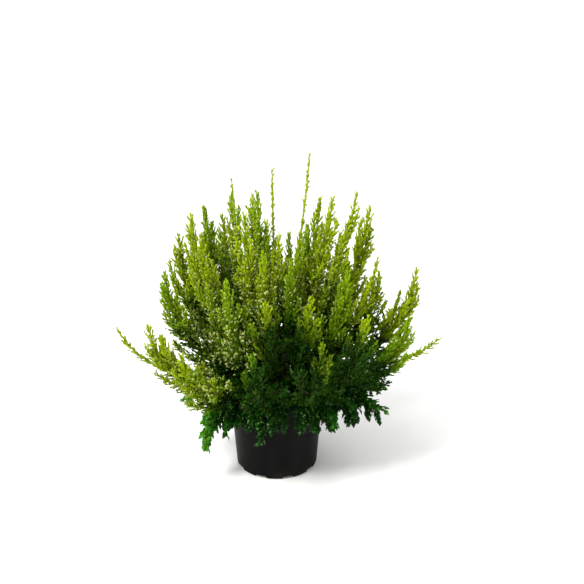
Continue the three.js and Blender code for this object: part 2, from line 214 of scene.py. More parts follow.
def sampled(bezier, straight_root=None):
    """Points at even steps along a cubic curve, with the buried foot before them."""
    t = np.linspace(0, 1, 201)[:, None]
    a, b, c, d = bezier
    curve = a * (1 - t) ** 3 + b * 3 * (1 - t) ** 2 * t + c * 3 * (1 - t) * t**2 + d * t**3
    lengths = np.concatenate([[0], np.cumsum(np.linalg.norm(np.diff(curve, axis=0), axis=1))])
    steps = max(6, math.floor(lengths[-1] / SAMPLE_STEP + 0.5))
    t = np.interp(np.linspace(0, 1, steps + 1) * lengths[-1], lengths, t[:, 0])[:, None]
    points = a * (1 - t) ** 3 + b * 3 * (1 - t) ** 2 * t + c * 3 * (1 - t) * t**2 + d * t**3
    return points if straight_root is None else np.vstack([straight_root, points])


def fork_from(stem, fork, side):
    points = stem["points"]
    start = math.floor((len(points) - 1) * fork["at"] + 0.5)
    root, tip = points[start], points[-1]
    along = unit(points[start + 2] - root)
    outward = unit(np.array([root[0], root[1], 0.0]))
    aside = np.array([-outward[1], outward[0], 0.0]) * side
    length = np.linalg.norm(tip - root) * fork["length"]
    end = root + unit(tip - root) * length + aside * fork["aside"] + outward * fork["outward"]
    way = unit(tip - points[-6])
    second = root + along * length * 0.25 + aside * fork["aside"] * 0.4
    bezier = (root, second, end - way * length * 0.3, end)
    return {
        "points": sampled(bezier),
        "start": start,
        "side": side,
        "half": stem["half"] * fork["half"],
        "stem": stem["stem"] * 0.85,
        "leafy": 11,
    }


def wall_radius(height):
    return POT["base"] + (POT["rim"] - POT["base"]) * height / POT["height"]


def clear_of_pot(points):
    """Whether each point keeps off the peat, the rim and the pot's wall."""
    radius, height = np.hypot(points[..., 0], points[..., 1]), points[..., 2]
    inside, outside = POT["rim"] - POT["wall"], POT["rim"] + POT["lip_out"]
    over_peat = (radius < POT["rim"]) & (height < SOIL["top"] + CLEAR["soil"])
    in_rim = (
        (height < POT["height"] + CLEAR["rim_above"])
        & (radius > inside - CLEAR["rim_inside"])
        & (radius < outside + CLEAR["rim_outside"])
    )
    in_wall = (
        (height < POT["height"]) & (radius > inside) & (radius < wall_radius(height) + CLEAR["rim_outside"])
    )
    return ~over_peat & ~in_rim & ~in_wall & (height > CLEAR["floor"])


def nearest(points, others):
    """The nearest of the others to each point."""
    best = np.empty(len(points), int)
    for start in range(0, len(points), 512):
        part = points[start:start + 512]
        best[start:start + 512] = ((part[:, None] - others[None]) ** 2).sum(-1).argmin(1)
    return others[best]


def room_for(fork, stems, courses):
    """How far the fork keeps from other stems, or 0 where it would touch the pot."""
    free = fork["points"][5:]
    if not clear_of_pot(free).all():
        return 0.0
    parent = stems[0]
    above = parent["points"][fork["start"] + 4:]
    others = [above if course is parent else course["points"] for course in courses]
    return np.linalg.norm(free - nearest(free, np.vstack(others)), axis=1).min()


def build_stems():
    nodes = []
    for level, ring in enumerate([*RINGS, LOW]):
        for place in range(ring["count"]):
            ruled = ruled_tip(ring, place, random_source(1000 * (level + 1) + place))
            named = NAMED.get((level, place), {})
            x, y = place_of(ring, place)
            root = np.array([x * ring["root"], y * ring["root"], SOIL["top"] + STEM["straight"]])
            tip = np.array(named.get("tip", ruled), float)
            shape = {**ring, **named}
            course = arched_course if ring is LOW else upright_course
            buried = np.array([root[0], root[1], SOIL["top"] - STEM["buried"]])
            stem = {
                "points": sampled(course(root, tip, shape), buried),
                "half": shape["half"],
                "stem": STEM["radius"],
                "leafy": shape["leafy"],
            }
            nodes.append({"level": level, "place": place, "stems": [stem], "forks": "tip_pull" not in named})
    return nodes


def add_forks(nodes):
    for fork in FORKS:
        for node in nodes:
            if not node["forks"] or node["level"] not in FORK_LEVELS:
                continue
            stems = node["stems"]
            courses = [stem for each in nodes for stem in each["stems"]]
            sides = [-stems[1]["side"]] if len(stems) > 1 else [1, -1]
            grown = [fork_from(stems[0], fork, side) for side in sides]
            rooms = [room_for(each, stems, courses) for each in grown]
            best = int(np.argmax(rooms))
            if rooms[best] > FORK_ROOM:
                stems.append(grown[best])


def measure(stem):
    points = stem["points"]
    stem["lengths"] = np.concatenate([[0], np.cumsum(np.linalg.norm(np.diff(points, axis=0), axis=1))])
    stem["length"] = stem["lengths"][-1]
    span = (points[-1] - points[0]) * [1, 1, 0]
    sideways = np.cross(UP, span) if np.linalg.norm(span) > 1 else np.array([1.0, 0, 0])
    stem["sideways"] = unit(sideways)
    ways = np.gradient(points, axis=0)
    ways[1:-1] = (ways[:-2] + 2 * ways[1:-1] + ways[2:]) / 4
    stem["ways"] = unit(ways)


def path_of(points):
    path = {"points": points}
    measure(path)
    return path


def stations(stem, distances):
    """Points and frames across the stem at distances from its start: centre, along, right, front."""
    lengths = stem["lengths"]
    pick = lambda rows: np.stack([np.interp(distances, lengths, rows[:, k]) for k in range(3)], 1)
    centre, along = pick(stem["points"]), unit(pick(stem["ways"]))
    sideways = stem["sideways"]
    right = unit(sideways - (along @ sideways)[:, None] * along)
    return centre, along, right, np.cross(along, right)


def turned(first, second, angle):
    """The way at this angle from the first way towards the second."""
    return first * np.cos(angle)[..., None] + second * np.sin(angle)[..., None]


def smooth_step(values, low, high):
    t = np.clip((values - low) / (high - low), 0, 1)
    return t * t * (3 - 2 * t)


def bowed(t, bow):
    """From 0 to 1 with t, and ahead of it between, or behind it where the bow is negative."""
    return (1 + bow) * t - bow * t**2


def ramped(values, least, run):
    """A share that grows with the values, from the least up to the whole."""
    return np.minimum(1, least + values / run)


def rising(foot, gain):
    """The height that is painted on a plume, by the share of the way along it."""
    return lambda t: foot + gain * t


def painted_shade(points):
    """How much painted shade deepens the green: low down, but for the far left and right, in the notch and in
    front.
    """
    x, y, z = points.T
    out = -y
    dusk = 90 + 42 * smooth_step(x, -35, 20)
    low = (1 - smooth_step(z - dusk, 0, 60)) * smooth_step(x, -80, -42) * (1 - smooth_step(x, 112, 135))
    notch = np.exp(-(((x - 12) / 17) ** 2)) * (1 - smooth_step(z, 185, 238)) * smooth_step(out, 5, 45)
    front = smooth_step(out, 50, 95) * (1 - smooth_step(z, 178, 240)) * smooth_step(x, -50, -15)
    return 0.75 * low + 0.45 * notch + 0.85 * front * (1 - low)


# Meshes from arrays

class Parts:
    """Vertices, triangles, material numbers, smoothness and paint of one piece, gathered bit by bit."""

    def __init__(self):
        self.rows = []
        self.count = 0

    def add(self, points, faces, material, paint, smooth=False):
        """points is (copies, corners, 3), faces the triangles of one copy and paint (copies, 3)."""
        copies, corners = points.shape[:2]
        if not copies:
            return
        tris = (faces[None] + (np.arange(copies) * corners)[:, None, None]).reshape(-1, 3) + self.count
        self.rows.append((
            points.reshape(-1, 3),
            tris,
            np.broadcast_to(np.int32(material), len(tris)),
            np.full(len(tris), smooth, bool),
            paint.reshape(-1, 3) if paint.ndim == 3 else np.repeat(paint, corners, axis=0),
        ))
        self.count += copies * corners

    def mesh(self, name):
        points, tris, materials, smooth, paint = (np.concatenate(column) for column in zip(*self.rows))
        mesh = bpy.data.meshes.new(name)
        mesh.vertices.add(len(points))
        mesh.vertices.foreach_set("co", (points * MM).astype(np.float32).ravel())
        mesh.loops.add(tris.size)
        mesh.loops.foreach_set("vertex_index", tris.astype(np.int32).ravel())
        mesh.polygons.add(len(tris))
        mesh.polygons.foreach_set("loop_start", np.arange(0, tris.size, 3, dtype=np.int32))
        mesh.polygons.foreach_set("material_index", materials)
        mesh.polygons.foreach_set("use_smooth", smooth)
        mesh.update(calc_edges=True)
        # Painted shade lowers the painted height, which darkens the colours it picks
        paint[:, 1] -= painted_shade(points)
        colour = mesh.attributes.new("growth_and_shade", "FLOAT_COLOR", "POINT")
        rgba = np.concatenate([paint, np.ones((len(paint), 1))], axis=1)
        colour.data.foreach_set("color", rgba.astype(np.float32).ravel())
        return mesh


# Paint of a leaf: tone, height and outer light; the less outer light, the deeper the painted shade inside the
# bush
def painted(tone, height, outer_light):
    return np.stack(np.broadcast_arrays(tone, height, outer_light), -1)


def placed(name, data):
    """A new object that holds this data, linked to the scene."""
    thing = bpy.data.objects.new(name, data)
    bpy.context.collection.objects.link(thing)
    return thing


def smoothed(mesh):
    mesh.polygons.foreach_set("use_smooth", np.ones(len(mesh.polygons), bool))


def tube_faces(sides, rings, chequered=False):
    """Triangles of a closed tube: rings of corners and a point at its end.

    A chequered tube is split so that every second corner can stand out as a four-sided point.
    """
    faces = []
    for j in range(rings - 1):
        for i in range(sides):
            a, b = j * sides + i, j * sides + (i + 1) % sides
            c, d = b + sides, a + sides
            if chequered and (i + j) % 2 == 0:
                faces += [(a, b, d), (b, c, d)]
            else:
                faces += [(a, b, c), (a, c, d)]
    last = (rings - 1) * sides
    faces += [(last + i, last + (i + 1) % sides, rings * sides) for i in range(sides)]
    faces += [(0, i + 1, i) for i in range(1, sides - 1)]
    return np.array(faces)


def chequer(rings, sides):
    """The ring and the place of each corner of a chequered tube, and whether it stands out."""
    ring, corner = np.indices((rings, sides))
    return ring, corner, ((ring + corner) % 2 == 0) & (ring > 0)


# Triangles of the small forms; their corners are placed by shares of their length
LEAF_FACES = np.array([(0, 2, 3), (2, 1, 3), (1, 0, 3), (0, 1, 2)])
ROUND_FACES = np.array([(0, 4, 1), (1, 4, 3), (3, 4, 2), (2, 4, 0), (0, 3, 2), (0, 1, 3)])
BUD_FACES = np.array([
    *[(0, 1 + (i + 1) % 4, 1 + i) for i in range(4)],
    *[(1 + i, 1 + (i + 1) % 4, 5) for i in range(4)],
])


def leaves(parts, root, along, out, length, paint, spread, width, skin):
    """Keeled scale leaves: two root corners, a keel and a tip each, closed behind."""
    side = np.cross(along, out)
    way = turned(along, out, spread)
    size = length[:, None]
    half = side * size * width / 2
    foot = root - along * size * 0.1
    keel = root + way * size * 0.42 + out * size * 0.16
    tip = root + way * size
    parts.add(np.stack([foot - half, foot + half, keel, tip], 1), LEAF_FACES, skin, paint)


def round_leaves(parts, root, along, out, length, paint, spread, width, skin):
    """Broad leaves, widest at their middle, with a raised midrib and closed behind."""
    side = np.cross(along, out)
    way, back = turned(along, out, spread), turned(out, -along, spread)
    size = length[:, None]
    foot = root - way * size * 0.08
    middle = root + way * size * 0.55
    tip = root + (way - back * 0.12) * size
    midrib = middle + back * size * 0.14
    half = side * size * width / 2
    parts.add(np.stack([foot, middle - half, middle + half, tip, midrib], 1), ROUND_FACES, skin, paint)


def buds(parts, root, way, side, length, paint):
    """Plump four-sided buds, fullest below their middle."""
    other = np.cross(way, side)
    size = length[:, None]
    corners = [root - way * size * 0.15]
    for i in range(4):
        angle = math.pi / 2 * i
        spoke = side * math.cos(angle) + other * math.sin(angle)
        corners.append(root + way * size * 0.42 + spoke * size * 0.34)
    corners.append(root + way * size)
    parts.add(np.stack(corners, 1), BUD_FACES, BUD_SKIN, paint, smooth=True)


# One spray: its woody stem and its plumes

def stem_radius(stem, distance):
    """The woody stem thins from the peat to the spray's tip."""
    return stem["stem"] * (0.85 - 0.55 * np.clip(distance / stem["length"], 0, 1))


def woody_stem(parts, stem):
    """The stem from its buried foot to a little way up among the leaves."""
    sides = WOOD["sides"]
    end = min(stem["leafy"] + WOOD["among_leaves"], stem["length"] - WOOD["end"])
    distance = np.arange(0, end, WOOD["step"])
    centre, _, right, front = stations(stem, distance)
    turn = 2 * math.pi * np.arange(sides) / sides
    way = turned(right[:, None], front[:, None], turn)
    corners = (centre[:, None] + way * stem_radius(stem, distance)[:, None, None]).reshape(-1, 3)
    point = stations(stem, distance[-1:] + WOOD["end"])[0]
    paint = np.full((len(corners) + 1, 3), 0.5)
    paint[:-1, 1] = np.repeat(np.clip(distance / (stem["leafy"] + WOOD["green"]), 0, 1), sides)
    faces = tube_faces(sides, len(distance))
    parts.add(np.vstack([corners, point])[None], faces, BARK, paint[None], smooth=True)


def set_about(path, distance, turn):
    """Points on the path with the way along it and the way out at these turns."""
    centre, along, right, front = stations(path, distance)
    return centre, along, turned(right, front, turn)


def spikelets(parts, root, along, out, length, radius, lean, paint, rng):
    """Short shoots of scale leaves in crossed pairs: closed four-sided tubes with raised corners."""
    full = np.array(SPIKELET["profile"])
    copies, rings, sides = len(root), len(full), 4
    t = np.append(np.arange(rings) / rings, 1)
    ahead = length[:, None] * np.cos(lean)[:, None] * t
    aside = length[:, None] * np.sin(lean)[:, None] * bowed(t, SPIKELET["bow"])
    centre = root[:, None] + along[:, None] * ahead[..., None] + out[:, None] * aside[..., None]
    way, front = turned(along, out, lean), turned(out, -along, lean)
    turn = math.pi / 2 * np.arange(sides) + rng.uniform(0, math.pi / 2, copies)[:, None]
    spoke = turned(front[:, None], np.cross(along, out)[:, None], turn)
    ring, _, raised = chequer(rings, sides)
    point = np.where(raised, rng.uniform(0.9, 1.5, (copies, rings, sides)), 0.42)
    reach = radius[:, None, None] * full[:, None] * point
    corners = centre[:, :-1, None] + spoke[:, None] * reach[..., None]
    corners = corners + way[:, None, None] * np.where(raised, reach, 0)[..., None]
    points = np.concatenate([corners.reshape(copies, -1, 3), centre[:, -1:]], 1)
    shade = np.empty((copies, rings * sides + 1, 3))
    shade[...] = paint[:, None]
    shade[:, :-1, 0] += rng.uniform(-0.15, 0.15, (copies, rings * sides))
    # Raised corners are painted further out than the others, and both more so towards the tip; the further
    # in, the deeper the painted shade
    shade[:, :-1, 2] *= np.where(raised, 0.55 + 0.1 * ring, 0.25 + 0.08 * ring).ravel()
    free = clear_of_pot(points).all(1)
    faces = tube_faces(sides, rings, chequered=True)
    parts.add(points[free], faces, LEAF_SKIN, np.clip(shade[free], -1, 1.2))


def core(parts, path, look, rng):
    """The closed bristly skin in the middle of a plume."""
    sides, length = CORE["sides"], path["length"]
    distance = np.arange(0, length - CORE["end"], CORE["pitch"])
    ring, corner, raised = chequer(len(distance), sides)
    centre, along, right, front = (rows[:, None] for rows in stations(path, distance))
    turn = 2 * math.pi * corner / sides + 0.3 * ring
    way = turned(right, front, turn)
    slim = ramped(length - distance, 0.35, 40)[:, None]
    reach = CORE["radius"] * slim * np.where(raised, rng.uniform(1.1, 1.9, ring.shape), 0.5)
    corners = centre + way * reach[..., None] + along * np.where(raised, reach, 0)[..., None]
    tucked = centre + way * (0.3 * reach)[..., None]
    corners = np.where(clear_of_pot(corners)[..., None], corners, tucked)
    height = look["height"](distance / length)
    tone = np.clip(look["tone"] + rng.uniform(-0.2, 0.2, ring.shape), 0, 1)
    # Raised corners are painted further out than the sunk ones, which lie deeper in painted shade
    paint = painted(tone, height[:, None], np.where(raised, 0.6, 0.2) * look["outer_light"])
    corners = np.vstack([corners.reshape(-1, 3), path["points"][-1]])
    paint = np.vstack([paint.reshape(-1, 3), [look["tone"], height[-1], 1]])
    parts.add(corners[None], tube_faces(sides, len(distance), chequered=True), LEAF_SKIN, paint[None])


def grow_spikelets(parts, path, look, rng):
    """Spikelets in a spiral up a plume, which shorten and close in towards its tip."""
    length, bare = path["length"], look["bare"]
    count = max(2, int((length - bare) / look["spacing"]))
    share = (np.arange(count) + rng.uniform(0, 1, count)) / count
    where = bare + (length - SPIKELET["end"] - bare) * share ** SPIKELET["crowding"]
    centre, along, out = set_about(path, where, rng.uniform(0, 6) + np.arange(count) * GOLDEN_ANGLE)
    left = length - where
    size = look["fringe"](left) * rng.uniform(0.75, 1.15, count)
    size = size * ramped(where - bare, 0.4, 16)
    least = 0.6
    lean = np.radians(rng.uniform(*look["lean"], count))
    lean = lean * (least + (1 - least) * np.minimum(1, left / SPIKELET["lean_run"]))
    radius = look["radius"] * rng.uniform(0.8, 1.15, count) * ramped(size, 0.45, 14)
    height = look["height"](where / length) + SPIKELET["lighter"]
    tone = look["tone"] * 0.6 + rng.uniform(0, 0.4, count)
    paint = painted(tone, height, look["outer_light"])
    spikelets(parts, centre, along, out, size, radius, lean, paint, rng)
    return {"centre": centre, "along": along, "out": out, "size": size, "lean": lean, "height": height}


def on_spikelets(spikes, many, low, rng):
    """Random places on spikelets: which one, the point, the way along and a way out from each."""
    pick = rng.integers(0, len(spikes["centre"]), many)
    centre, along, out, size, lean = (spikes[key][pick] for key in ("centre", "along", "out", "size", "lean"))
    t = rng.uniform(low, 0.95, many)
    ahead = size * np.cos(lean) * t
    aside = size * np.sin(lean) * bowed(t, SPIKELET["bow"])
    point = centre + along * ahead[:, None] + out * aside[:, None]
    return pick, point, along, turned(out, np.cross(along, out), rng.uniform(-1.9, 1.9, many))


def grow_leaves(parts, path, spikes, look, rng):
    """Scale leaves on a plume's spikelets, or broad leaves on a low shoot's."""
    shape = look["leaves"]
    many = int(path["length"] * shape["per_mm"])
    pick, root, ahead, aside = on_spikelets(spikes, many, 0.2, rng)
    length = shape["length"] * rng.uniform(0.6, 1.15, many)
    length = length * ramped(spikes["size"][pick], 0.35, 12)
    free = clear_of_pot(root + (aside + ahead) * length[:, None] * 0.8)
    paint = painted(rng.uniform(0, 1, many), spikes["height"][pick], look["outer_light"])
    spread = rng.uniform(0.3, 1.0, many)
    rows = (column[free] for column in (root, ahead, aside, length, paint, spread))
    make = round_leaves if shape is BROAD_LEAF else leaves
    make(parts, *rows, shape["width"], shape["skin"])


def grow_buds(parts, path, spikes, look, rng):
    """Closed buds on a plume's spikelets: most low down and on the left, none where the painted shade is
    deep.
    """
    many = int(path["length"] * BUD["per_mm"] * look["budding"])
    pick, root, ahead, aside = on_spikelets(spikes, many, 0.45, rng)
    # How deep the painted shade is here; it also lowers the buds' painted height
    depth = painted_shade(root)
    risen = spikes["height"][pick] - SPIKELET["lighter"] - depth
    share = np.clip(1.25 - 1.25 * risen, 0, 1) * (1 - smooth_step(depth, *BUD["shade"]))
    share *= 1 - 0.75 * smooth_step(root[:, 0], *BUD["across"])
    kept = (rng.uniform(0, 1, many) < share) & clear_of_pot(root + aside * 3)
    way = unit(aside + ahead * rng.uniform(0.4, 1.5, many)[:, None])
    length = BUD["length"] * rng.uniform(0.7, 1.15, many)
    paint = painted(rng.uniform(0, 1, many), risen, look["outer_light"])
    buds(parts, *(column[kept] for column in (root, way, unit(np.cross(way, ahead)), length, paint)))


def dress_plume(parts, path, look, rng):
    """Clothe a path: a bristly core, spikelets that shorten towards its tip, and leaves and buds on them.

    The look says how: spacing, radius and lean of the spikelets, the bare length at its foot, the fringe
    that gives their length, the kind of leaves, the share of buds, and the paint's tone, height and outer
    light, which sets the painted shade inside.
    """
    core(parts, path, look, rng)
    spikes = grow_spikelets(parts, path, look, rng)
    grow_leaves(parts, path, spikes, look, rng)
    grow_buds(parts, path, spikes, look, rng)


def leafy_twigs(parts, stem, first, share, per_mm, rng):
    """Thin twigs with older leaves on the lower part of a stem, which close the inside of the bush."""
    top = max(stem["length"] * share, first + 1)
    count = int((top - first) * per_mm / TWIG["leaves"])
    where = rng.uniform(first, top, count)
    centre, along, out = set_about(stem, where, rng.uniform(0, 2 * math.pi, count))
    lean = rng.uniform(*np.radians(TWIG["lean"]), count)
    way, side, other = turned(along, out, lean), np.cross(along, out), turned(out, -along, lean)
    small = 1 - 0.55 * smooth_step(where / stem["length"], 0.45, 0.9)
    full_half = TWIG["full_half"]
    length = rng.uniform(*TWIG["length"], count) * small * min(stem["half"], full_half) / full_half
    tip = centre + way * length[:, None]
    height = (where - stem["leafy"]) / (stem["length"] - stem["leafy"]) - 0.15
    keep = clear_of_pot(tip) & clear_of_pot((centre + tip) / 2)
    columns = (centre, way, side, other, length, tip, small, height)
    centre, way, side, other, length, tip, small, height = (rows[keep] for rows in columns)

    turn = 2 * math.pi * np.arange(3) / 3
    spoke = turned(other[:, None], side[:, None], turn) * TWIG["radius"]
    middle = centre + way * length[:, None] * 0.55
    corners = [centre[:, None] + spoke, middle[:, None] + spoke * 0.7, tip[:, None]]
    parts.add(np.concatenate(corners, 1), tube_faces(3, 2), BARK, painted(0.4, np.maximum(height, 0.1), 0.4))

    pick = np.repeat(np.arange(len(tip)), TWIG["leaves"])
    many = len(pick)
    t = np.tile(np.linspace(0.12, 0.97, TWIG["leaves"]), len(tip))
    aside = turned(side[pick], other[pick], t * 40 + rng.uniform(0, 1, many))
    root = centre[pick] + way[pick] * (length[pick] * t)[:, None]
    size = TWIG["leaf"] * small[pick] * rng.uniform(0.6, 1.1, many)
    free = clear_of_pot(root + (aside + way[pick]) * size[:, None] * 0.7)
    # Twig leaves: little outer light, so painted shade inside the bush, and a painted height a little below
    # the stem's
    paint = painted(rng.uniform(0, 0.8, many), height[pick], 0.25 + 0.3 * t)
    spread = rng.uniform(0.3, 0.9, many)
    rows = (column[free] for column in (root, way[pick], aside, size, paint, spread))
    leaves(parts, *rows, TWIG["width"], LEAF_SKIN)


def side_path(stem, start, rise, reach, turn):
    """A path that leaves the stem and then runs up beside it, and the stem's point at its end."""
    t = np.linspace(0, 1, max(5, round(rise / 4)))
    distance = start + rise * bowed(t, -0.2)
    centre, _, way = set_about(stem, distance, np.full(len(t), turn))
    return path_of(centre + way * (reach * bowed(t, 0.7))[:, None]), centre[-1]


def clear_path(stem, start, rise, reach, turn, others):
    """The widest such path that keeps clear of the pot and on its own side of other stems."""
    path, centre = side_path(stem, start, rise, reach, turn)
    tip = path["points"][-1:]
    near = nearest(tip, others)[0] - centre
    toward = max((tip[0] - centre) @ near, 1e-6)
    reach *= min(1, 1.25 * (near @ near) / (2 * toward))
    for share in (1, 0.6, 0.3):
        for nudge in (0, 1, -1, 2, -2):
            path = side_path(stem, start, rise, reach * share, turn + nudge)[0]
            if clear_of_pot(path["points"][1:]).all():
                return path
    return None


def hanging_path(stem, start, length, aside):
    """A path that leaves a stem outside the pot and hangs down from it."""
    centre = stations(stem, np.array([start]))[0][0]
    outward = unit(centre * [1, 1, 0])
    sideways = np.array([-outward[1], outward[0], 0.0])
    t = np.linspace(0, 1, 8)[:, None]
    across = (outward * CURTAIN["out"] + sideways * aside) * length * bowed(t, 0.5)
    return path_of(centre + across - UP * length * t ** CURTAIN["droop"])


def curtain(parts, stem, manner, rng):
    """Plumes that hang from a low shoot in front of the rim."""
    radius = np.hypot(stem["points"][:, 0], stem["points"][:, 1])
    if radius.max() <= CURTAIN["from"]:
        return
    start = np.interp(CURTAIN["from"], radius, stem["lengths"])
    while start < stem["length"] - CURTAIN["end"]:
        height = stations(stem, np.array([start]))[0][0][2]
        length = min(height - rng.uniform(*CURTAIN["foot"]), CURTAIN["longest"])
        if length > CURTAIN["shortest"]:
            path = hanging_path(stem, start, length, rng.uniform(-1, 1) * CURTAIN["aside"])
            if clear_of_pot(path["points"][1:]).all():
                look = {
                    **manner, "tone": rng.uniform(), "outer_light": 0.9, "bare": 2, "height": rising(0.15, 0.55),
                    "fringe": fringe_of(rng.uniform(*CURTAIN["fringe"])),
                }
                dress_plume(parts, path, look, rng)
        start += CURTAIN["step"] * rng.uniform(0.7, 1.3)


def fringe_of(longest, thin=False):
    """Length of the spikelets by how far they are from the tip: full below it, short on a thin tip."""
    if thin:
        short, run = longest * THIN["share"], THIN["run"]
        return lambda left: short + (THIN["full"] - short) * smooth_step(left, run, run + THIN["fade"])
    return lambda left: longest * (0.36 + 0.64 * np.minimum(1, np.maximum(left, 0) / PLUME["full"]) ** 0.75)


def main_plume(parts, stem, habit, rng):
    """The plume that follows the stem itself up to its tip."""
    first, length, thin = habit["first"], stem["length"], habit["thin"]
    points = stations(stem, np.arange(first, length, PLUME["step"]))[0]
    path = path_of(np.vstack([points, stem["points"][-1]]))
    wide = habit["long"] and stem["half"] > THIN["half"]
    look = {
        **habit["manner"], "tone": THIN["tone"] if thin else rng.uniform(*PLUME["tones"]), "outer_light": 1.0,
        "bare": max(0, habit["spread"]["from"] * length - first - PLUME["overlap"]), "height": rising(0, 1),
        "fringe": fringe_of(habit["longest"], thin), "spacing": (THIN if thin else PLUME)["spacing"],
        "lean": SPIKELET["wide_lean" if wide else "lean"],
    }
    dress_plume(parts, path, look, rng)


def inner_twigs(parts, stem, habit, rng):
    """Twigs inside the bush: more and further up at its two sides, less far up on thin and long shoots."""
    per_mm = TWIG["per_mm"][habit["level"]] * (FLANK["more"] if habit["flank"] else 1)
    share = FLANK["share"] if habit["flank"] else TWIG["share"]
    if habit["thin"] or habit["long"]:
        share = TWIG["short_share"]
    leafy_twigs(parts, stem, max(habit["first"], TWIG["first"]), share, per_mm, rng)


def side_plumes(parts, stem, habit, turn, rng):
    """Plumes that leave the stem in a spiral and run up beside it; the last turn is handed back."""
    leafy, length, half, spread = stem["leafy"], stem["length"], stem["half"], habit["spread"]
    lowest = max(leafy - SIDE["below"], spread["from"] * length, 3)
    highest = length * SIDE["long_highest" if habit["long"] else "highest"]
    highest -= THIN["run"] if habit["thin"] else 0
    bushy = np.clip((half - 2) / 9, 0.4, 1.2)
    fuller = FLANK["fringe"] if habit["flank"] else 1
    count = max(1, int((highest - lowest - 20) / spread["spacing"] * bushy))
    span = max(highest - lowest - SIDE["lead"], 0)
    for i in range(count):
        turn += GOLDEN_ANGLE + rng.normal(0, 0.25)
        end = lowest + SIDE["lead"] + span * ((i + rng.uniform(0, 1)) / count) ** 0.75
        rise = min(rng.uniform(*PLUME["rise"]) * (0.8 if habit["low"] else 1), end - lowest)
        foot, top = np.clip((np.array([end - rise, end]) - leafy) / (length - leafy), 0, 1)
        wide = min(1, 0.42 + 1.5 * (1 - top)) * bushy
        reach = spread["reach"] * wide * rng.uniform(0.45, 1.05) * min(1, rise / SIDE["full_rise"])
        reach = max(SIDE["least_reach"], reach)
        path = clear_path(stem, end - rise, rise, reach, turn, habit["others"])
        if path is None:
            continue
        longest = min(habit["longest"], SIDE["fringe"])
        # Plumes that reach further out get more outer light, so less painted shade
        look = {
            **habit["manner"], "tone": rng.uniform(0.15, 1), "outer_light": min(1, 0.7 + 0.4 * reach / half),
            "bare": 4, "height": rising(foot, top - foot),
            "fringe": fringe_of(longest * rng.uniform(0.8, 1.15) * fuller),
        }
        dress_plume(parts, path, look, rng)
    return turn


def foot_plumes(parts, stem, habit, turn, rng):
    """Short plain plumes on the stem between the peat and its leafy part."""
    room = stem["leafy"] - STEM["buried"] - FOOT["end"]
    for i in range(int(max(0, room) / FOOT["step"])):
        turn += GOLDEN_ANGLE
        start = STEM["buried"] + FOOT["from"] + (i + rng.uniform(0, 0.9)) * FOOT["step"]
        rise, reach = rng.uniform(*FOOT["rise"]), rng.uniform(*FOOT["reach"])
        path = clear_path(stem, start, rise, reach, turn, habit["others"])
        if path is None:
            continue
        # Foot plumes: only half out, so in painted shade, and painted with the spray's foot colour
        look = {
            **habit["manner"], "tone": rng.uniform(), "outer_light": 0.55, "bare": 2, "budding": 0.0,
            "spacing": FOOT["spacing"], "fringe": fringe_of(FOOT["fringe"]), "height": rising(-0.25, 0.1),
        }
        dress_plume(parts, path, look, rng)


def habit_of(stem, node, everything):
    """How a stem of this node grows: long shoots have no forks, low ones broad leaves and no buds."""
    long = not node["forks"]
    low = node["level"] == LOW_LEVEL and not long
    return {
        "level": node["level"], "low": low, "long": long, "thin": stem["half"] < THIN["half"],
        "flank": abs(stem["points"][-1, 0]) > FLANK["from"] and not low,
        "longest": min(stem["half"] * FRINGE["wide" if low or long else "plain"], FRINGE["longest"]),
        "first": max(stem["leafy"] - PLUME["below"], 3),
        "spread": SPREAD[node["level"]],
        "others": np.vstack([each["points"] for each in everything if each is not stem]),
        "manner": {
            "spacing": PLUME["spacing"], "radius": SPIKELET["low_radius" if low else "radius"],
            "leaves": BROAD_LEAF if low else LEAF, "budding": 0.0 if low else 1.0, "lean": SPIKELET["lean"],
        },
    }


def build_spray(name, node, everything, materials):
    rng = np.random.default_rng(7 + 100 * node["level"] + node["place"])
    parts = Parts()
    for stem in node["stems"]:
        habit = habit_of(stem, node, everything)
        woody_stem(parts, stem)
        if habit["low"]:
            curtain(parts, stem, habit["manner"], rng)
        main_plume(parts, stem, habit, rng)
        inner_twigs(parts, stem, habit, rng)
        turn = side_plumes(parts, stem, habit, rng.uniform(0, 2 * math.pi), rng)
        foot_plumes(parts, stem, habit, turn, rng)
    mesh = parts.mesh(name)
    for material in materials:
        mesh.materials.append(material)
    return placed(name, mesh)


# Materials

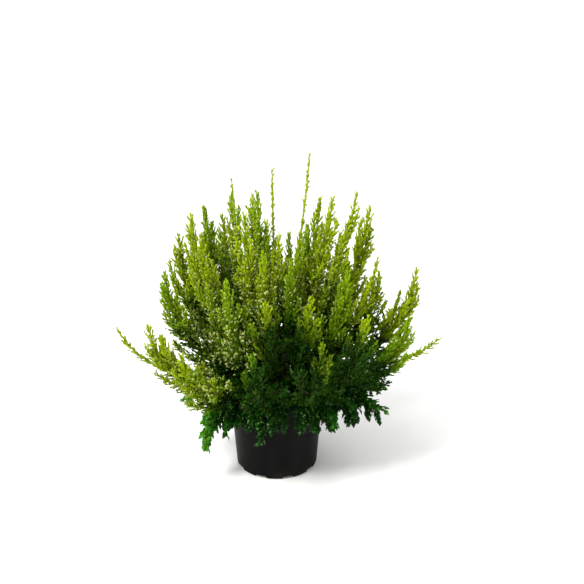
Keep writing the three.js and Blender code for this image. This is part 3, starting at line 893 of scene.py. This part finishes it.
class Nodes:
    """A material's node tree, with short calls for the nodes it uses."""

    def __init__(self, name):
        self.material = bpy.data.materials.new(name)
        self.material.use_nodes = True
        self.tree = self.material.node_tree
        self.shader = self.tree.nodes["Principled BSDF"]

    def add(self, kind, **values):
        node = self.tree.nodes.new(kind)
        for key, value in values.items():
            if key in node.inputs:
                node.inputs[key].default_value = value
            else:
                setattr(node, key, value)
        return node

    def plug(self, value, socket):
        """Link an output to the socket, or set the socket to a number or a colour."""
        if isinstance(value, bpy.types.NodeSocket):
            self.tree.links.new(value, socket)
        else:
            socket.default_value = (*value, 1) if isinstance(value, tuple) else value

    def skin(self, name, value):
        self.plug(value, self.shader.inputs[name])

    def ramp(self, source, stops):
        node = self.tree.nodes.new("ShaderNodeValToRGB")
        elements = node.color_ramp.elements
        while len(elements) < len(stops):
            elements.new(0.5)
        for element, (position, colour) in zip(elements, stops):
            element.position = position
            element.color = (*colour, 1)
        self.plug(source, node.inputs["Fac"])
        return node.outputs["Color"]

    def mask(self, source, low, high):
        """Black where the source is below low, white where it is above high."""
        return self.ramp(source, [(low, (0, 0, 0)), (high, (1, 1, 1))])

    def tinted(self, colour, source, stops):
        """The colour multiplied by a ramp of the source."""
        return self.mix(1.0, colour, self.ramp(source, stops), "MULTIPLY")

    def mix(self, factor, first, second, blend="MIX"):
        node = self.tree.nodes.new("ShaderNodeMix")
        node.data_type = "RGBA"
        node.blend_type = blend
        for value, socket in zip((factor, first, second), (node.inputs[0], node.inputs[6], node.inputs[7])):
            self.plug(value, socket)
        return node.outputs[2]

    def math(self, operation, *values):
        node = self.tree.nodes.new("ShaderNodeMath")
        node.operation = operation
        for value, socket in zip(values, node.inputs):
            self.plug(value, socket)
        return node.outputs[0]

    def noise(self, scale, detail=3.0, stretch=(1, 1, 1), roughness=0.5):
        coordinates = self.add("ShaderNodeTexCoord")
        mapping = self.add("ShaderNodeMapping")
        mapping.inputs["Scale"].default_value = stretch
        self.plug(coordinates.outputs["Object"], mapping.inputs["Vector"])
        noise = self.add("ShaderNodeTexNoise", Scale=scale, Detail=detail, Roughness=roughness)
        self.plug(mapping.outputs["Vector"], noise.inputs["Vector"])
        return noise.outputs["Fac"]

    def bump(self, height, strength, distance):
        node = self.add("ShaderNodeBump", Strength=strength, Distance=distance)
        self.plug(height, node.inputs["Height"])
        self.plug(node.outputs["Normal"], self.shader.inputs["Normal"])

    def finish(self, colour, grain, spread, least):
        """Base colour, and a roughness that varies with the grain from its least value."""
        self.skin("Base Color", colour)
        self.skin("Roughness", self.math("ADD", self.math("MULTIPLY", grain, spread), least))

    def growth_and_shade(self):
        """Painted on the mesh: a leaf's tone, its share of the way up less painted shade, and its share out,
        for painted inner shade.
        """
        attribute = self.add("ShaderNodeAttribute", attribute_name="growth_and_shade")
        split = self.add("ShaderNodeSeparateColor")
        self.plug(attribute.outputs["Color"], split.inputs["Color"])
        return split.outputs["Red"], split.outputs["Green"], split.outputs["Blue"]


def leaf_material(name, foot, middle, top, fleck_and_glint, fleck_and_glint_scale, gloss, roughness):
    """Scale leaves: dark at the spray's foot, partly as painted shade, in painted shade inside, bright at its
    top, mottled leaf by leaf.
    """
    nodes = Nodes(name)
    tone, height, depth = nodes.growth_and_shade()
    patches = nodes.noise(34.0, 2.0)
    # The painted height, less the painted shade, picks the foot, middle or top colour
    risen = nodes.math("ADD", height, nodes.math("MULTIPLY", nodes.math("SUBTRACT", patches, 0.5), 0.7))
    body = nodes.ramp(risen, [(0.0, foot), (0.32, middle), (0.85, top)])
    # Painted shade inside the bush: leaves get darker the less far out they are
    painted_inner_shade = [(0.0, (0.42, 0.45, 0.4)), (0.6, (0.9, 0.9, 0.9)), (1.0, (1.15, 1.12, 1.0))]
    body = nodes.tinted(body, depth, painted_inner_shade)
    dark_to_bright = [(0.0, (0.45, 0.6, 0.6)), (0.5, (1.0, 1.0, 1.0)), (1.0, (1.5, 1.35, 1.1))]
    body = nodes.tinted(body, tone, dark_to_bright)
    # Pale flecks: paler leaves on the scale leaves, painted glints on the glossy broad leaves
    flecks_and_glints = nodes.mask(nodes.noise(fleck_and_glint_scale, 1.0), 0.61, 0.73)
    body = nodes.mix(nodes.math("MULTIPLY", flecks_and_glints, 0.5), body, fleck_and_glint)
    nodes.finish(body, nodes.noise(420.0, 2.0), 0.3, roughness)
    nodes.bump(nodes.noise(1400.0, 2.0), 0.25, 0.0004)
    nodes.skin("Specular IOR Level", gloss)
    return nodes.material


def bud_material():
    """Closed buds: cream and pale green, greener at their foot, now and then blushed."""
    nodes = Nodes("heather_bud")
    tone, height, _ = nodes.growth_and_shade()
    body = nodes.ramp(tone, [(0.0, (0.24, 0.3, 0.05)), (0.55, (0.4, 0.44, 0.13)), (1.0, (0.62, 0.63, 0.34))])
    body = nodes.tinted(body, nodes.noise(700.0, 2.0), [(0.35, (0.75, 0.82, 0.55)), (0.7, (1, 1, 1))])
    body = nodes.tinted(body, height, [(0.3, (1, 1, 1)), (0.9, (0.75, 0.85, 0.35))])
    nodes.finish(body, nodes.noise(500.0, 2.0), 0.25, 0.35)
    nodes.bump(nodes.noise(1100.0, 2.0), 0.3, 0.0004)
    return nodes.material


def bark_material():
    """Stems: brown at the peat, straw green higher up, green at the tip."""
    nodes = Nodes("heather_stem")
    _, height, _ = nodes.growth_and_shade()
    grain = nodes.noise(160.0, 4.0, (1, 1, 0.25))
    foot_to_tip = [(0.0, (0.05, 0.04, 0.02)), (0.25, (0.16, 0.17, 0.05)), (0.8, (0.26, 0.33, 0.04))]
    body = nodes.ramp(height, foot_to_tip)
    body = nodes.tinted(body, grain, [(0.3, (0.6, 0.58, 0.5)), (0.7, (1.1, 1.1, 1.05))])
    nodes.finish(body, grain, 0.3, 0.5)
    nodes.bump(grain, 0.5, 0.0006)
    return nodes.material


def pot_material():
    """Matt black moulded plastic: faint drawn streaks, fine grain and peat dust at the foot."""
    nodes = Nodes("pot_plastic")
    streaks = nodes.noise(60.0, 3.0, (1, 1, 0.06))
    grain = nodes.noise(1600.0, 2.0)
    cloud = nodes.noise(38.0, 4.0)
    body = nodes.ramp(streaks, [(0.3, (0.002, 0.0021, 0.0021)), (0.7, (0.0045, 0.0047, 0.0046))])
    coordinates = nodes.add("ShaderNodeTexCoord")
    split = nodes.add("ShaderNodeSeparateXYZ")
    nodes.plug(coordinates.outputs["Object"], split.inputs["Vector"])
    foot = nodes.ramp(split.outputs["Z"], [(0.0, (1, 1, 1)), (0.012, (0.1, 0.1, 0.1)), (0.03, (0, 0, 0))])
    dusty = nodes.mask(cloud, 0.45, 0.68)
    dust = nodes.math("MULTIPLY", nodes.math("MULTIPLY", foot, dusty), 0.55)
    body = nodes.mix(dust, body, (0.03, 0.021, 0.014))
    nodes.skin("Base Color", body)
    nodes.skin("Specular IOR Level", 0.05)
    rough = nodes.math("ADD", nodes.math("MULTIPLY", streaks, 0.16), 0.4)
    rough = nodes.math("ADD", rough, nodes.math("MULTIPLY", dust, 0.4))
    nodes.skin("Roughness", rough)
    nodes.bump(nodes.math("ADD", nodes.math("MULTIPLY", grain, 0.4), streaks), 0.18, 0.0005)
    return nodes.material


def soil_material():
    """Moist peat: nearly black brown, with paler fibres."""
    nodes = Nodes("peat")
    lumps = nodes.noise(240.0, 6.0)
    fibres = nodes.noise(900.0, 3.0, (1, 0.3, 1))
    moist_to_dry = [(0.3, (0.012, 0.008, 0.005)), (0.6, (0.045, 0.028, 0.017)), (0.8, (0.1, 0.066, 0.04))]
    body = nodes.ramp(lumps, moist_to_dry)
    pale = nodes.mask(fibres, 0.66, 0.74)
    body = nodes.mix(nodes.math("MULTIPLY", pale, 0.35), body, (0.22, 0.15, 0.09))
    nodes.finish(body, lumps, 0.2, 0.75)
    nodes.bump(lumps, 0.8, 0.0015)
    return nodes.material


# The pot

def turned_mesh(name, outline, segments):
    """A closed mesh turned about Z from an outline of radius and height that starts and ends on it."""
    mesh = bpy.data.meshes.new(name)
    form = bmesh.new()
    rings = []
    for radius, height in outline:
        if radius < 1e-6:
            rings.append([form.verts.new((0, 0, height * MM))] * segments)
            continue
        ring = []
        for i in range(segments):
            angle = 2 * math.pi * i / segments
            place = (radius * math.cos(angle) * MM, radius * math.sin(angle) * MM, height * MM)
            ring.append(form.verts.new(place))
        rings.append(ring)
    for lower, upper in zip(rings, rings[1:]):
        for i in range(segments):
            j = (i + 1) % segments
            corners = list(dict.fromkeys([lower[i], lower[j], upper[j], upper[i]]))
            if len(corners) > 2:
                form.faces.new(corners)
    bmesh.ops.recalc_face_normals(form, faces=form.faces)
    form.to_mesh(mesh)
    form.free()
    return mesh


def arc(centre, size, start, end, steps):
    """Points of radius and height round a centre, between two angles in degrees."""
    angles = np.radians(np.linspace(start, end, steps + 1))
    return [(centre[0] + size * math.cos(a), centre[1] + size * math.sin(a)) for a in angles]


def pot_outline():
    """Round the pot's wall: base, outside, rolled lip, inside and floor. Extra rings keep flats flat."""
    height, wall, corner = POT["height"], POT["wall"], POT["corner"]
    lip_foot = height - POT["lip_height"]
    lip = POT["rim"] + POT["lip_out"]
    foot = wall_radius(corner)
    under_lip, over_lip, inner_lip = 0.9, 1, 0.7
    inner = POT["rim"] - wall
    inside = wall_radius(corner + wall) - wall
    small = corner - 0.8
    return [
        (0, 0), (foot - corner - 9, 0), (foot - corner - 8, 0),
        *arc((foot - corner, corner), corner, -90, 0, 8),
        *[(wall_radius(h), h) for h in (16, 32, 48, 64, lip_foot - 4)],
        (wall_radius(lip_foot - 1.6), lip_foot - 1.6),
        *arc((lip - under_lip, lip_foot + 0.4), under_lip, -80, 0, 4),
        *arc((lip - over_lip, height - over_lip), over_lip, 0, 90, 6),
        *arc((inner + inner_lip, height - inner_lip), inner_lip, 90, 180, 4),
        *[(wall_radius(h) - wall, h) for h in (72, 48, 24)],
        *arc((inside - small, wall + small), small, 0, -90, 5),
        (0, wall),
    ]


def slot_cutter():
    """Rounded blocks where the drain slots go, round the pot's foot."""
    cutters = bmesh.new()
    for i in range(POT["slots"]):
        angle = math.radians(-90 + POT["slot_turn"] + 360 / POT["slots"] * i)
        made = bmesh.ops.create_cube(cutters, size=1)
        for vert in made["verts"]:
            x = vert.co.x * POT["slot_reach"] * 2 + POT["base"]
            y = vert.co.y * POT["slot_width"]
            z = vert.co.z * POT["slot_height"] * 2
            turned = (x * math.cos(angle) - y * math.sin(angle), x * math.sin(angle) + y * math.cos(angle), z)
            vert.co = Vector(turned) * MM
    bmesh.ops.bevel(
        cutters, geom=list(cutters.edges), offset=POT["slot_round"] * MM, segments=3, affect="EDGES",
        profile=0.5,
    )
    mesh = bpy.data.meshes.new("slots")
    cutters.to_mesh(mesh)
    cutters.free()
    return placed("slots", mesh)


def build_pot(material):
    whole = turned_mesh("pot_body", pot_outline(), 144)
    pot = placed("pot_body", whole)
    cutter = slot_cutter()
    cutter_mesh = cutter.data
    cut = pot.modifiers.new("slots", "BOOLEAN")
    cut.operation = "DIFFERENCE"
    cut.solver = "MANIFOLD"
    cut.object = cutter
    shaped = bpy.data.meshes.new_from_object(pot.evaluated_get(bpy.context.evaluated_depsgraph_get()))
    pot.modifiers.clear()
    pot.data = shaped
    bpy.data.meshes.remove(whole)
    bpy.data.objects.remove(cutter)
    bpy.data.meshes.remove(cutter_mesh)
    form = bmesh.new()
    form.from_mesh(shaped)
    bmesh.ops.dissolve_degenerate(form, dist=0.01 * MM, edges=form.edges)
    form.to_mesh(shaped)
    form.free()
    shaped.materials.clear()
    shaped.materials.append(material)
    smoothed(shaped)
    shaped.set_sharp_from_angle(angle=math.radians(40))
    return pot


# The peat

def build_soil(material):
    """The plug of peat, with low waves and crumbs on its top."""
    rng = np.random.default_rng(31)
    top, bands, wall, corner = SOIL["top"], SOIL["bands"], POT["wall"], POT["corner"]
    foot = wall + SOIL["gap"]
    side = lambda height: wall_radius(height) - wall - SOIL["gap"] - SOIL["ease"]
    outline = [
        (0, foot), (side(foot) - corner, foot), (side(foot + corner), foot + corner + 1),
        (side(40), 40), (side(top - 3), top - 3),
        *[(side(top) * (1 - i / bands), top) for i in range(bands)],
        (0, top),
    ]
    mesh = turned_mesh("peat", outline, 96)
    points = np.empty(len(mesh.vertices) * 3, np.float32)
    mesh.vertices.foreach_get("co", points)
    points = points.reshape(-1, 3)
    x, y = points[:, 0] / MM, points[:, 1] / MM
    upper = points[:, 2] > (top - 1) * MM
    waves = np.sin(x * 0.31 + 1.1) * np.cos(y * 0.27) + np.sin((x - y) * 0.17 + 0.6)
    fine = np.sin(x * 1.3 + 0.4 * y) * np.sin(y * 1.7 - 0.3 * x) + rng.normal(0, 0.5, len(x))
    points[:, 2] += np.where(upper, (SOIL["relief"] * waves / 2 + SOIL["grain"] * fine) * MM, 0)
    mesh.vertices.foreach_set("co", points.ravel())
    mesh.materials.append(material)
    smoothed(mesh)
    return placed("peat", mesh)


# Floor, light and camera

def build_floor():
    """A pale floor that turns up into a low wall all round, far from the plant."""
    flat, bend_from, bend, wall_top = 1200, 2600, 1600, 4500
    wall = bend_from + bend
    outline = [(0, 0), (flat, 0), *arc((bend_from, bend), bend, -90, 0, 14), (wall, wall_top)]
    mesh = turned_mesh("floor", outline, 64)
    smoothed(mesh)
    floor = placed("floor", mesh)
    nodes = Nodes("floor_paint")
    tint = nodes.ramp(nodes.noise(3.0, 2.0), [(0.3, (0.88, 0.88, 0.875)), (0.7, (0.9, 0.9, 0.898))])
    nodes.skin("Base Color", tint)
    nodes.skin("Roughness", 0.9)
    nodes.skin("Specular IOR Level", 0.1)
    mesh.materials.append(nodes.material)


# Where the lamps aim, in metres: the middle of the plant
LIT = (0.0, 0.0, 0.17)


def area_light(name, place, size, energy, colour):
    data = bpy.data.lights.new(name, "AREA")
    data.shape = "DISK"
    data.size = size
    data.energy = energy
    data.color = colour
    lamp = placed(name, data)
    lamp.location = place
    aim = Vector(LIT) - Vector(place)
    lamp.rotation_euler = aim.to_track_quat("-Z", "Y").to_euler()


def build_light():
    world = bpy.data.worlds.new("studio")
    bpy.context.scene.world = world
    world.use_nodes = True
    background = world.node_tree.nodes["Background"]
    background.inputs["Color"].default_value = (1.0, 1.0, 1.0, 1.0)
    background.inputs["Strength"].default_value = 1.04
    area_light("key", (-1.1, -1.3, 2.1), size=0.8, energy=75, colour=(1.0, 0.985, 0.95))
    area_light("back", (0.5, 1.9, 2.0), size=1.2, energy=14, colour=(1.0, 1.0, 1.0))


# The camera stands where the photograph's did: its focal length is in pixels of a 584 pixel frame
CAMERA = {"place": (0.0175, -0.830, 0.475), "pitch": 18.0, "focal": 800.0, "frame": 584.0, "sensor": 36.0}


def build_camera():
    data = bpy.data.cameras.new("camera")
    data.sensor_width = CAMERA["sensor"]
    data.lens = CAMERA["sensor"] * CAMERA["focal"] / CAMERA["frame"]
    data.clip_start = 0.01
    camera = placed("camera", data)
    camera.location = CAMERA["place"]
    camera.rotation_euler = (math.radians(90 - CAMERA["pitch"]), 0.0, 0.0)
    bpy.context.scene.camera = camera


# Colours of the foot, middle and top of a spray, and of the flecks on it
LEAF_COLOURS = {
    "foliage_yellow": ((0.012, 0.056, 0.002), (0.17, 0.27, 0.003), (0.3, 0.42, 0.004), (0.44, 0.48, 0.14)),
    "foliage_lime": ((0.01, 0.053, 0.002), (0.14, 0.245, 0.003), (0.27, 0.39, 0.004), (0.4, 0.45, 0.12)),
    "foliage_green": ((0.008, 0.048, 0.002), (0.095, 0.205, 0.003), (0.2, 0.335, 0.004), (0.36, 0.42, 0.1)),
    # The dark and glossy sets, for the low shoots, are darker partly as painted shade under the bush
    "foliage_dark": ((0.003, 0.027, 0.001), (0.013, 0.082, 0.002), (0.06, 0.18, 0.004), (0.14, 0.24, 0.07)),
    "foliage_glossy": ((0.0025, 0.03, 0.001), (0.011, 0.09, 0.002), (0.045, 0.18, 0.004), (0.34, 0.52, 0.17)),
}
SCALE_FINISH = {"fleck_and_glint_scale": 900, "gloss": 0.03, "roughness": 0.36}
# The glossy leaves' flecks are larger: they are painted glints
GLOSSY_FINISH_AND_GLINTS = {"fleck_and_glint_scale": 330, "gloss": 0.07, "roughness": 0.2}


def slot_of(node):
    """The material slot that the part's record gives this node."""
    for part in frame["record"]["subparts"]:
        if part["node"] == node:
            return part["material_slot"]


def build_all():
    build_camera()
    build_floor()
    build_light()
    bpy.context.scene.view_settings.view_transform = "Standard"
    leaf = {}
    for slot, colours in LEAF_COLOURS.items():
        finish = GLOSSY_FINISH_AND_GLINTS if slot == "foliage_glossy" else SCALE_FINISH
        leaf[slot] = leaf_material(slot, *colours, **finish)
    bark, bud = bark_material(), bud_material()

    pot = build_pot(pot_material())
    soil = build_soil(soil_material())
    pieces = [(pot, "pot"), (soil, "soil")]

    nodes = build_stems()
    add_forks(nodes)
    everything = [stem for node in nodes for stem in node["stems"]]
    for stem in everything:
        measure(stem)
    counts = {"spray": 0, "low_shoot": 0}
    for node in nodes:
        kind = "low_shoot" if node["level"] == LOW_LEVEL else "spray"
        counts[kind] += 1
        solid = f"{kind}_{counts[kind]:02d}"
        skins = [bark, leaf[slot_of(solid)], bud, leaf["foliage_glossy"]]
        piece = build_spray(f"leafy_{solid}", node, everything, skins)
        pieces.append((piece, solid))
    for piece, solid in pieces:
        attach(piece, "root")
        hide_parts(solid)


build_all()
